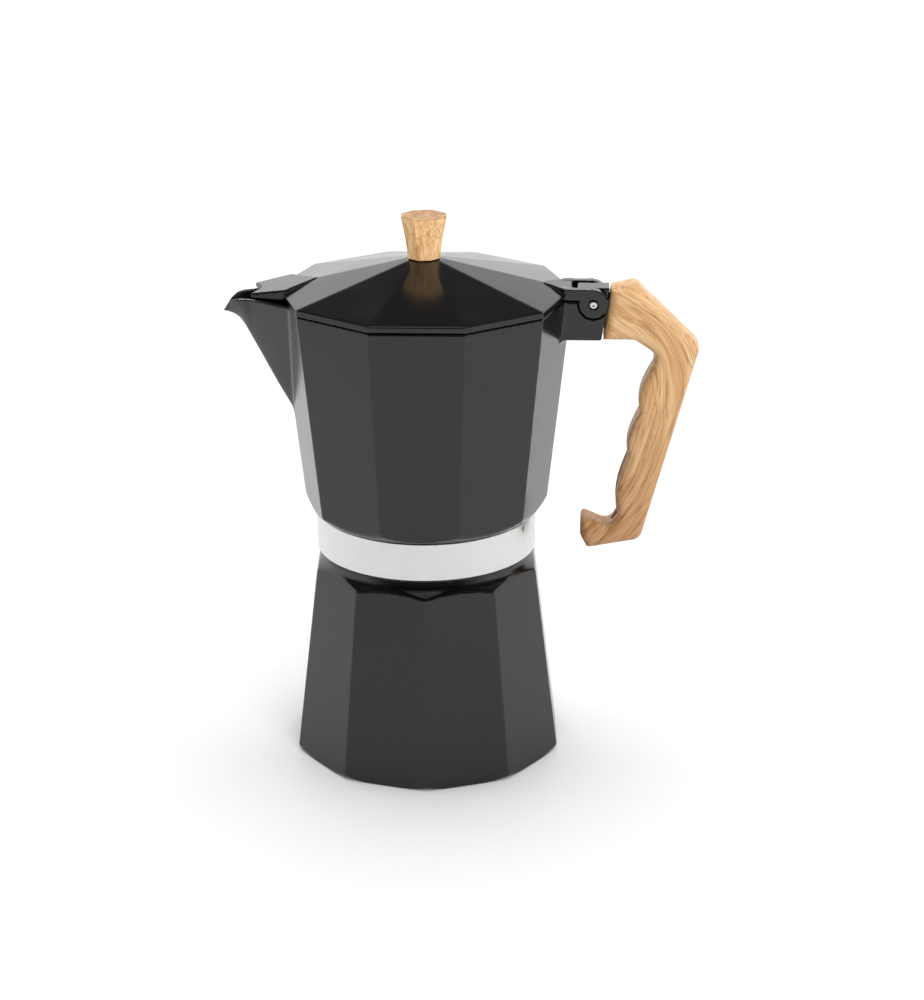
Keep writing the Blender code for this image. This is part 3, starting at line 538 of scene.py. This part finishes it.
def grip_outline():
    """The grip's side view, listed round its edge."""
    front_low, front_high = (69.7, 169.85), (72.55, 190.35)
    crown, elbow, heel, toe = (82.1, 192.65), (107.6, 167.6), (85.7, 86.95), (64.5, 83.05)
    hook_back, hook_tip, hook_dip = (61.6, 88.8), (62.0, 97.0), (73.2, 92.0)
    cusps = [(76.5, 97.6), (80.1, 122.0), (84.4, 140.6), (90.2, 161.0)]
    palm, arm_under = (90.4, 164.2), (81.9, 169.85)
    points = [front_low, front_high]
    points += fillet_points(front_high, crown, elbow, 3.0)
    points += fillet_points(crown, elbow, heel, 5.0)
    points += fillet_points(elbow, heel, toe, 4.5)
    points += fillet_points(heel, toe, hook_back, 1.6)
    points += fillet_points(toe, hook_back, hook_tip, 6.0)
    points += fillet_points(hook_back, hook_tip, hook_dip, 1.5)
    points += fillet_points(hook_tip, hook_dip, cusps[0], 4.5)
    for k, bulge in enumerate((2.0, 1.6, 2.0)):
        points.append(cusps[k])
        points += finger(cusps[k], cusps[k + 1], bulge)
    points += fillet_points(cusps[2], palm, arm_under, 3.5)
    points += fillet_points(palm, arm_under, front_low, 3.0)
    return points


def make_grip_field():
    """The grip: its outline with rounded edges, a slot for the tongue and a hole for the screw."""
    outline = Outline(grip_outline())
    half, edge = 7.5, 3.8

    def field(x, y, z):
        body = cut(outline(x, z), np.abs(y) - half, edge)
        slot = np.maximum(np.maximum(np.abs(y) - 2.9, bar(60, 83.3, x)), bar(173.7, 187.3, z))
        body = cut(body, -slot, 0.3)
        sink = np.hypot(x - SCREW_X, y)
        body = cut(body, -np.maximum(sink - 3.1, z - 172.2), 0.3)
        return np.maximum(body, -np.maximum(sink - 1.7, z - 175))

    return field


def make_knob_field():
    """The knob: eight-sided, slightly waisted and wider at the top, with a bore for its bush."""
    low, high, waist = 6.75, 9.65, 0.35

    def field(x, y, z):
        share = np.clip((z - KNOB_LOW) / (KNOB_TOP - KNOB_LOW), 0, 1)
        corner = low + (high - low) * share - waist * 4 * share * (1 - share)
        walls = faceted(x, y, corner, sides=8, turn=25.5, edge=0.3, slope=0.17)
        body = cut(walls, z - KNOB_TOP, 0.7)
        body = cut(body, KNOB_LOW - z, 0.4)
        return np.maximum(body, -np.maximum(np.hypot(x, y) - 3.0, z - 212))

    return field


def make_collar_field():
    """The bare band between the chambers, with a small pointer cut in it."""
    bore, radius, low, high = COLLAR
    angle = math.radians(MARK_ANGLE)

    def field(x, y, z):
        reach = np.hypot(x, y)
        body = cut(np.maximum(reach - radius, bore - reach), bar(low, high, z), 0.3)
        side = np.abs(y * math.cos(angle) - x * math.sin(angle))
        notch = np.maximum(z - 97.8, side * 0.894 - (z - 94.8) * 0.447)
        notch = np.maximum(notch, 43.3 - reach)
        notch = np.maximum(notch, -(x * math.cos(angle) + y * math.sin(angle)))
        return np.maximum(body, -notch)

    return field


def make_cap_field():
    """The cap on the coffee column, with an outlet through each side."""
    outline = [(4.9, 157), (6.4, 157), (6.4, 165), (5.6, 168.5), (3.4, 170.6), (0, 171.2), (-5, 171.2)]
    outline += [(-5, 169.6), (0, 169.6), (2.8, 169), (4.2, 167.4), (4.9, 165)]
    shape = Outline(outline)

    def field(x, y, z):
        body = shape(np.hypot(x, y), z) - 0.15
        outlet = np.maximum(np.maximum(np.abs(x) - 9, np.abs(y) - 1.8), bar(164.2, 167.6, z))
        return cut(body, -outlet, 0.2)

    return field


# Turned and drawn metal


def lathe(name, profile, around=None, segments=96):
    """A closed outline of (radius, height) points turned round an axis, with sharp corners kept."""
    mesh = bpy.data.meshes.new(name)
    shape = bmesh.new()
    around = around or Matrix.Translation((0, 0, FOOT))
    rings = []
    for k in range(segments):
        turn = math.tau * k / segments
        ring = []
        for radius, height in profile:
            ring.append(shape.verts.new((radius * math.cos(turn), radius * math.sin(turn), height)))
        rings.append(ring)
    for k in range(segments):
        here, there = rings[k], rings[(k + 1) % segments]
        for j in range(len(profile)):
            after = (j + 1) % len(profile)
            shape.faces.new((here[j], there[j], there[after], here[after]))
    bmesh.ops.remove_doubles(shape, verts=shape.verts, dist=1e-4)
    bmesh.ops.recalc_face_normals(shape, faces=shape.faces)
    corners = [edge for edge in shape.edges if edge.calc_face_angle(0) > math.radians(28)]
    bmesh.ops.bevel(shape, geom=corners, offset=0.12, segments=2, affect="EDGES", clamp_overlap=True)
    bmesh.ops.transform(shape, matrix=Matrix.Scale(MM, 4) @ around, verts=shape.verts)
    shape.to_mesh(mesh)
    shape.free()
    mesh.shade_smooth()
    mesh.set_sharp_from_angle(angle=math.radians(32))
    return mesh


# Finishes


def smooth_path(knots, steps=12):
    """A smooth curve through points, as a fine polyline."""
    knots = np.array(knots, float)
    padded = np.concatenate([[2 * knots[0] - knots[1]], knots, [2 * knots[-1] - knots[-2]]])
    points = []
    for k in range(1, len(padded) - 2):
        a, b, c, d = padded[k - 1 : k + 3]
        for t in np.arange(steps) / steps:
            cubic = 2 * b + (c - a) * t + (2 * a - 5 * b + 4 * c - d) * t**2 + (3 * b - a - 3 * c + d) * t**3
            points.append(cubic / 2)
    return np.array(points + [knots[-1]])


def lay_grain(mesh, knots):
    """Store where each vertex lies along and across a bent piece of wood, in millimetres."""
    place = np.empty(len(mesh.vertices) * 3, np.float32)
    mesh.vertices.foreach_get("co", place)
    place = place.reshape(-1, 3) / MM - (0, 0, FOOT)
    path = smooth_path(knots)
    best = np.full(len(place), 1e9)
    grain = np.zeros((len(place), 3))
    travelled = 0.0
    flat = place[:, [0, 2]]
    for start, end in zip(path, path[1:]):
        along = end - start
        length = np.hypot(*along)
        along = along / length
        share = np.clip((flat - start) @ along, 0, length)
        off = flat - start - share[:, None] * along
        gap = np.hypot(off[:, 0], off[:, 1])
        nearer = gap < best
        best[nearer] = gap[nearer]
        side = np.sign(off[:, 0] * along[1] - off[:, 1] * along[0])
        grain[nearer, 0] = travelled + share[nearer]
        grain[nearer, 1] = (gap * side)[nearer]
        travelled += length
    grain[:, 2] = place[:, 1]
    stored = mesh.attributes.new("grain", "FLOAT_VECTOR", "POINT")
    stored.data.foreach_set("vector", grain.astype(np.float32).ravel())


class Finish:
    """A Principled material under construction, with short ways to add procedural variation."""

    def __init__(self, name, **constants):
        self.material = bpy.data.materials.new(name)
        self.material.use_nodes = True
        self.tree = self.material.node_tree
        self.shader = self.tree.nodes["Principled BSDF"]
        for socket, value in constants.items():
            self.shader.inputs[socket.replace("_", " ")].default_value = value
        self.place = self.node("ShaderNodeTexCoord").outputs["Object"]

    def node(self, kind, **inputs):
        """A new shader node with its sockets set or linked."""
        made = self.tree.nodes.new(kind)
        for socket, value in inputs.items():
            self.feed(made.inputs[socket.replace("_", " ")], value)
        return made

    def feed(self, socket, value):
        """Link a socket to another one, or set it to a constant."""
        if isinstance(value, bpy.types.NodeSocket):
            self.tree.links.new(value, socket)
        else:
            socket.default_value = value

    def stretched(self, scale, source=None):
        """Coordinates scaled by a different amount along each axis."""
        return self.node("ShaderNodeMapping", Vector=source or self.place, Scale=scale).outputs["Vector"]

    def noise(self, scale, detail=3.0, source=None, distortion=0.0, roughness=0.5):
        made = self.node("ShaderNodeTexNoise", Scale=scale, Detail=detail, Distortion=distortion)
        made.inputs["Roughness"].default_value = roughness
        self.feed(made.inputs["Vector"], source or self.place)
        return made.outputs["Fac"]

    def spread(self, source, low, high, start=0.0, end=1.0):
        """A straight change from start to end as the source goes from low to high."""
        made = self.node("ShaderNodeMapRange", Value=source)
        for socket, value in (("From Min", low), ("From Max", high), ("To Min", start), ("To Max", end)):
            made.inputs[socket].default_value = value
        return made.outputs["Result"]

    def ramp(self, source, stops):
        """A colour that follows the source through (place, colour) stops."""
        made = self.node("ShaderNodeValToRGB", Fac=source)
        band = made.color_ramp
        while len(band.elements) < len(stops):
            band.elements.new(0.5)
        for element, (spot, colour) in zip(band.elements, stops):
            element.position = spot
            element.color = (*colour, 1)
        return made.outputs["Color"]

    def mix(self, share, a, b, blend="MIX"):
        """Two colours mixed by a share."""
        made = self.tree.nodes.new("ShaderNodeMix")
        made.data_type = "RGBA"
        made.blend_type = blend
        self.feed(made.inputs["Factor"], share)
        colours = [socket for socket in made.inputs if socket.type == "RGBA"]
        self.feed(colours[0], a)
        self.feed(colours[1], b)
        return [socket for socket in made.outputs if socket.type == "RGBA"][0]

    def bump(self, height, strength, distance=0.0002):
        """Fine relief on the surface, its depth in metres."""
        made = self.node("ShaderNodeBump", Height=height, Strength=strength, Distance=distance)
        self.feed(self.shader.inputs["Normal"], made.outputs["Normal"])

    def set(self, socket, value):
        self.feed(self.shader.inputs[socket], value)


def black_enamel():
    """Glossy black enamel over cast aluminium, faintly uneven."""
    finish = Finish("black_enamel", IOR=1.5)
    cloud = finish.noise(60, 2)
    tones = [(0.3, (0.0018, 0.0018, 0.002)), (0.7, (0.0026, 0.0026, 0.0028))]
    finish.set("Base Color", finish.ramp(cloud, tones))
    finish.set("Roughness", finish.spread(cloud, 0.3, 0.7, 0.16, 0.2))
    finish.bump(finish.noise(900, 2), 0.03)
    return finish.material


def bare_aluminium():
    """Turned aluminium, with fine marks that run round it."""
    finish = Finish("bare_aluminium", Metallic=1.0)
    lathe_marks = finish.noise(40, 3, finish.stretched((1, 1, 45)))
    cloud = finish.noise(70, 3)
    tone = finish.mix(cloud, (0.64, 0.64, 0.635, 1), (0.7, 0.7, 0.695, 1))
    finish.set("Base Color", tone)
    finish.set("Roughness", finish.spread(lathe_marks, 0.3, 0.7, 0.3, 0.36))
    finish.bump(lathe_marks, 0.015, 0.00005)
    return finish.material


def steel():
    """Bright steel with a slight variation in polish."""
    finish = Finish("steel", Metallic=1.0)
    marks = finish.noise(700, 3)
    finish.set("Base Color", finish.mix(marks, (0.56, 0.56, 0.55, 1), (0.68, 0.68, 0.67, 1)))
    finish.set("Roughness", finish.spread(marks, 0.3, 0.7, 0.18, 0.3))
    return finish.material


def brass():
    """Plain brass."""
    finish = Finish("brass", Metallic=1.0)
    marks = finish.noise(300, 3)
    finish.set("Base Color", finish.mix(marks, (0.62, 0.42, 0.16, 1), (0.78, 0.56, 0.25, 1)))
    finish.set("Roughness", finish.spread(marks, 0.3, 0.7, 0.2, 0.36))
    return finish.material


def silicone():
    """The seal's off-white silicone."""
    finish = Finish("silicone")
    cloud = finish.noise(90, 3)
    finish.set("Base Color", finish.mix(cloud, (0.66, 0.65, 0.62, 1), (0.76, 0.75, 0.72, 1)))
    finish.set("Roughness", finish.spread(cloud, 0.3, 0.7, 0.5, 0.62))
    return finish.material


WOOD_DARK, WOOD_MIDDLE = (0.42, 0.22, 0.09), (0.6, 0.36, 0.165)
WOOD_LIGHT, WOOD_PALE = (0.74, 0.48, 0.25), (0.84, 0.6, 0.35)
GRIP_LENGTH = 135  # along its grain, over which painted shade darkens it towards its lower end
KNOB_END = 0.2191, 0.2197  # metres, where the sides give way to the end grain on top


def red_fibre():
    """The valve washer's matt red fibre."""
    finish = Finish("red_fibre")
    cloud = finish.noise(600, 4)
    finish.set("Base Color", finish.mix(cloud, (0.30, 0.05, 0.03, 1), (0.42, 0.09, 0.05, 1)))
    finish.set("Roughness", finish.spread(cloud, 0.3, 0.7, 0.6, 0.8))
    return finish.material


def wood(name, along, lift=1.0, grain=False):
    """Pale oak with darker growth lines. Its grain follows the stored one, or stands upright."""
    finish = Finish(name)
    source = finish.place
    if grain:
        stored = finish.tree.nodes.new("ShaderNodeAttribute")
        stored.attribute_name = "grain"
        source = stored.outputs["Vector"]

    def shade(colour, share=1.0):
        """A wood colour made lighter or darker, kept within white."""
        return tuple(min(1.0, value * lift * share) for value in colour)

    bands = finish.noise(1.0, 4, finish.stretched(along, source), 0.35, 0.55)
    growth = finish.noise(1.0, 2, finish.stretched([1.35 * value for value in along], source), 0.5, 0.4)
    pores = finish.noise(1.0, 3, finish.stretched([4.2 * value for value in along], source), 0.2, 0.7)
    tones = [(0.28, shade(WOOD_DARK, 1.25)), (0.42, shade(WOOD_MIDDLE, 1.1))]
    tones += [(0.55, shade(WOOD_LIGHT)), (0.7, shade(WOOD_PALE))]
    tone = finish.ramp(bands, tones)
    plain, line = (1.0, 1.0, 1.0), (0.62, 0.5, 0.4)
    lines = [(0.0, plain), (0.36, plain), (0.39, line), (0.42, plain), (0.47, plain)]
    lines += [(0.5, line), (0.53, plain), (0.58, plain), (0.61, line), (0.64, plain)]
    tone = finish.mix(0.75, tone, finish.ramp(growth, lines), "MULTIPLY")
    tone = finish.mix(0.7, tone, finish.ramp(pores, [(0.36, (0.66, 0.55, 0.46)), (0.5, plain)]), "MULTIPLY")
    if grain:
        # Painted shade: the grip's wood is darkened along its grain towards its lower end.
        split = finish.node("ShaderNodeSeparateXYZ", Vector=source)
        along_grip = finish.spread(split.outputs["X"], 0, GRIP_LENGTH)
        painted_lower_shade = finish.ramp(along_grip, [(0.0, plain), (0.45, (0.95, 0.93, 0.9)), (1.0, (0.6, 0.49, 0.42))])
        tone = finish.mix(1.0, tone, painted_lower_shade, "MULTIPLY")
    else:
        split = finish.node("ShaderNodeSeparateXYZ", Vector=finish.place)
        end = finish.spread(split.outputs["Z"], *KNOB_END)
        rings = finish.noise(260, 3, None, 1.2)
        rings = finish.ramp(rings, [(0.35, (0.32, 0.24, 0.17)), (0.6, (0.6, 0.53, 0.45))])
        tone = finish.mix(1.0, tone, finish.mix(end, (1, 1, 1, 1), rings), "MULTIPLY")
    finish.set("Base Color", tone)
    finish.set("Roughness", finish.spread(pores, 0.3, 0.7, 0.5, 0.4))
    finish.bump(pores, 0.15)
    return finish.material


# Every piece

enamel, aluminium, steel_bright, brass_plain = black_enamel(), bare_aluminium(), steel(), brass()
rubber, fibre = silicone(), red_fibre()
grip_wood = wood("wood_effect", (0.014, 0.3, 0.12), 0.92, True)
knob_wood = wood("wood_effect_knob", (330, 330, 40), 1.3)
GRIP_GRAIN = [(56, 188), (74, 181), (88, 171), (95, 157), (95, 143)]  # (x, height) along the grip
GRIP_GRAIN += [(91, 125), (85, 109), (76, 96), (64, 83), (54, 72)]

# name, field, low and high corners of its box, cell, finish, body, slot, CAD node
castings = (
    ("chamber_body", make_chamber_field, (-80, -59, 82), (84, 59, 192), 0.75, enamel)
    + ("chamber", "black_enamel", "chamber"),
    ("lid_body", make_lid_field, (-69, -57, 179), (73, 57, 203), 0.7, enamel)
    + ("lid", "black_enamel", "lid"),
    ("boiler_body", make_boiler_field, (-57, -57, -3), (57, 57, 95), 0.85, enamel)
    + ("boiler", "black_enamel", "boiler"),
    ("handle_grip", make_grip_field, (59, -9, 81), (109, 9, 195), 0.6, grip_wood)
    + ("chamber", "wood_effect", "handle"),
    ("knob_grip", make_knob_field, (-11, -11, 200), (11, 11, 219), 0.4, knob_wood)
    + ("lid", "wood_effect", "knob"),
    ("collar_band", make_collar_field, (-45, -45, 82.5), (45, 45, 99.8), 0.5, aluminium)
    + ("chamber", "bare_aluminium", "collar_ring"),
    ("riser_cover", make_cap_field, (-8, -8, 156), (8, 8, 172.5), 0.4, aluminium)
    + ("chamber", "bare_aluminium", "riser_cap"),
)
for name, field, low, high, cell, material, body, slot, node in castings:
    mesh = sculpt(name, field(), low, high, cell)
    if node == "handle":
        lay_grain(mesh, GRIP_GRAIN)
    place(name, mesh, material, body, slot, [node])

PIN = Matrix.Translation((HINGE_X, 0, HINGE_Z + FOOT)) @ Matrix.Rotation(math.radians(90), 4, "X")
pin_half = [(1.5, 8.95), (1.4, 9.15), (1.2, 9.25), (0.5, 9.25), (0, 8.95)]
pin_outline = pin_half + [(radius, -height) for radius, height in pin_half[::-1]]
place("hinge_rod", lathe("hinge_rod", pin_outline, PIN, 40), steel_bright, "chamber", "steel", ["hinge_pin"])

upright = Matrix.Translation((0, 0, FOOT))
funnel_outline = [(36.6, 94.8), (36.6, 94.0), (33.5, 94.0), (33.5, 74.0), (31.0, 72.0), (8.0, 66.0)]
funnel_outline += [(6.5, 64.0), (5.8, 6.0), (5.0, 6.0), (5.7, 64.5), (7.2, 67.0), (30.2, 73.2)]
funnel_outline += [(30.2, 75.0), (32.7, 75.0), (32.7, 94.8)]
gasket_outline = [(27.6, 95.1), (36.4, 95.1), (37.0, 95.7), (37.0, 97.7)]
gasket_outline += [(36.4, 98.3), (27.6, 98.3), (27.0, 97.7), (27.0, 95.7)]
column_outline = [(3.8, 107.5), (3.8, 113.3), (7.2, 113.3), (7.2, 114.7)]
column_outline += [(6.2, 116.3), (4.6, 163), (2.3, 163), (2.9, 107.5)]
under = LID_TOP - 2.2
insert_outline = [(1.5, 201.5), (2.4, 201.5), (2.4, 211.4), (1.5, 211.4)]
washer_outline = [(1.5, under - 0.8), (3.8, under - 0.8), (3.8, under - 0.3), (1.5, under - 0.3)]
head = under - 1.1
screw_outline = [(0, head - 1.4), (0.9, head - 1.4), (0.9, head - 2.2), (2.4, head - 2.2)]
screw_outline += [(3.2, head - 1.4), (3.2, head), (1.2, head), (1.2, 208.0), (0, 208.6)]
turned_pieces = (
    ("funnel_basket", funnel_outline, upright, aluminium, "funnel", "bare_aluminium", "funnel"),
    ("gasket_ring", gasket_outline, upright, rubber, "gasket", "silicone", "gasket"),
    ("coffee_column", column_outline, upright, aluminium, "chamber", "bare_aluminium", "riser_column"),
    ("knob_bush", insert_outline, upright, brass_plain, "lid", "brass", "knob_insert"),
    ("knob_disc", washer_outline, upright, steel_bright, "lid", "steel", "knob_washer"),
    ("knob_bolt", screw_outline, upright, steel_bright, "lid", "steel", "knob_screw"),
)
for name, outline, around, material, body, slot, node in turned_pieces:
    place(name, lathe(name, outline, around), material, body, slot, [node])

carried = {
    "funnel_sieve": aluminium,
    "filter_plate": steel_bright,
    "handle_screw": steel_bright,
    "valve_body": brass_plain,
    "valve_seat": brass_plain,
    "valve_stem": steel_bright,
    "valve_spring": steel_bright,
    "valve_washer": fibre,
}
for node, material in carried.items():
    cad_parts[node].data.materials.clear()
    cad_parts[node].data.materials.append(material)


# Floor, light and camera

ground = bpy.data.meshes.new("floor")
ground.from_pydata([(-4, -4, 0), (4, -4, 0), (4, 5, 0), (-4, 5, 0)], [], [(0, 1, 2, 3)])
floor = bpy.data.objects.new("floor", ground)
bpy.context.scene.collection.objects.link(floor)
pale = Finish("floor", Roughness=0.6)
pale_tones = (0.74, 0.74, 0.74, 1), (0.76, 0.76, 0.76, 1)  # hardly different: the floor is plain
pale.set("Base Color", pale.mix(pale.noise(3, 2), *pale_tones))
ground.materials.append(pale.material)


def softbox(name, location, towards, size, power):
    """A large soft lamp that lights surfaces but isn't seen in them."""
    light = bpy.data.lights.new(name, "AREA")
    light.shape = "RECTANGLE"
    light.size, light.size_y = size
    light.energy = power
    lamp = bpy.data.objects.new(name, light)
    bpy.context.scene.collection.objects.link(lamp)
    lamp.location = location
    lamp.rotation_euler = (Vector(towards) - Vector(location)).to_track_quat("-Z", "Y").to_euler()
    lamp.visible_glossy = False


softbox("overhead", (0, 1.3, 1.8), (0, 1.3, 0), (4, 3.2), 78)
softbox("front_fill", (0.5, -1.6, 0.9), (0, 0, 0.1), (1.6, 1.2), 30)

studio = bpy.data.worlds.new("studio")
studio.use_nodes = True
bpy.context.scene.world = studio
tree = studio.node_tree
direction = tree.nodes.new("ShaderNodeTexCoord").outputs["Generated"]
split = tree.nodes.new("ShaderNodeSeparateXYZ")
tree.links.new(direction, split.inputs[0])


def blend(source, low, high, start, end):
    """A smooth change from start to end as the source goes from low to high."""
    made = tree.nodes.new("ShaderNodeMapRange")
    made.interpolation_type = "SMOOTHSTEP"
    tree.links.new(source, made.inputs["Value"])
    for socket, value in (("From Min", low), ("From Max", high), ("To Min", start), ("To Max", end)):
        made.inputs[socket].default_value = value
    return made


walls = blend(split.outputs["Y"], -0.8, -0.3, 0.08, 1.4)
ceiling = blend(split.outputs["Z"], 0.34, 0.53, 1.0, 0.06)
product = tree.nodes.new("ShaderNodeMath")
product.operation = "MULTIPLY"
tree.links.new(walls.outputs["Result"], product.inputs[0])
tree.links.new(ceiling.outputs["Result"], product.inputs[1])
overhead = blend(split.outputs["Z"], 0.82, 0.94, 0.0, 0.9)
total = tree.nodes.new("ShaderNodeMath")
tree.links.new(product.outputs[0], total.inputs[0])
tree.links.new(overhead.outputs["Result"], total.inputs[1])
tree.links.new(total.outputs[0], tree.nodes["Background"].inputs["Strength"])
tree.nodes["Background"].inputs["Color"].default_value = (1, 1, 1, 1)

camera = bpy.data.objects.new("camera", bpy.data.cameras.new("camera"))
bpy.context.scene.collection.objects.link(camera)
bpy.context.scene.camera = camera
camera.data.sensor_width = 36
camera.data.lens = CAMERA_LENS
azimuth, elevation, roll = (math.radians(angle) for angle in CAMERA_ANGLES)
right = Vector((math.cos(azimuth), math.sin(azimuth), 0))
level = Vector((math.sin(azimuth), -math.cos(azimuth), 0))
back = Vector((level.x * math.cos(elevation), level.y * math.cos(elevation), math.sin(elevation)))
target = Vector((0, 0, TARGET_HEIGHT)) + right * TARGET_ASIDE
basis = Matrix((right, back.cross(right), back)).transposed().to_4x4()
camera.matrix_world = Matrix.Translation(target + back) @ basis @ Matrix.Rotation(-roll, 4, "Z")

bpy.context.scene.view_settings.view_transform = "Standard"
